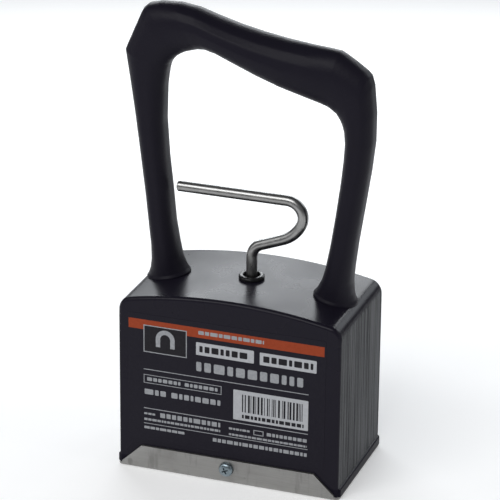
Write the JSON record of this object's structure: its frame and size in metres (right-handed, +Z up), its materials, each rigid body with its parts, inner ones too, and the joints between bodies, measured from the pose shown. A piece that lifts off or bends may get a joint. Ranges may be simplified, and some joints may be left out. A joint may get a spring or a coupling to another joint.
{
  "type": "hand lifting magnet",
  "caption": "Hand-held lifting magnet for small steel parts: a boxed magnet block with a loop handle and a spring-loaded lever that lifts the block to drop the load.",
  "frame": {"origin": "middle of the base plate's underside, where the magnet meets its load", "axes": "+X along the long side towards the low end of the grip, -Y towards the labelled front, +Z up to the handle"},
  "size_m": [0.0916, 0.0542, 0.17],
  "materials": {
    "black_plastic": "satin black moulding with fine upright draw marks on the end walls",
    "handle_plastic": "semi-gloss black moulding",
    "bush_plastic": "polished black moulding",
    "stainless_sheet": "fine-brushed stainless sheet with faint handling marks",
    "zinc_steel": "blue-white zinc plate",
    "bright_steel": "bright drawn wire",
    "spring_steel": "drawn spring wire",
    "mild_steel": "cold-rolled plate, lightly oiled",
    "ferrite": "fired ceramic magnet, matt dark grey",
    "label_film": "dark printed film with an orange stripe"
  },
  "bodies": {
    "body": {"housing": "black_plastic", "handle": "handle_plastic", "handle_screw_left": "zinc_steel", "handle_screw_right": "zinc_steel", "handle_washer_left": "zinc_steel", "handle_washer_right": "zinc_steel", "guide_bush": "bush_plastic", "base_plate": "stainless_sheet", "base_screw_front": "zinc_steel", "base_screw_rear": "zinc_steel", "front_label": "label_film", "return_spring": "spring_steel"},
    "magnet_carriage": {"release_lever": "bright_steel", "rod_nut_upper": "zinc_steel", "rod_nut_lower": "zinc_steel", "rod_washer_upper": "zinc_steel", "rod_washer_lower": "zinc_steel", "spring_seat": "zinc_steel", "yoke_plate": "mild_steel", "magnet_left": "ferrite", "magnet_right": "ferrite", "pole_plate_left": "mild_steel", "pole_plate_right": "mild_steel", "magnet_screw_left": "zinc_steel", "magnet_screw_right": "zinc_steel"}
  },
  "joints": [
    {"name": "release_slide", "type": "slide", "parent": "body", "child": "magnet_carriage", "axis": [0, 0, 1], "range_m": [0, 0.022], "stiffness_N_per_m": 300, "springref_m": -0.01, "deforming": ["return_spring"]}
  ]
}
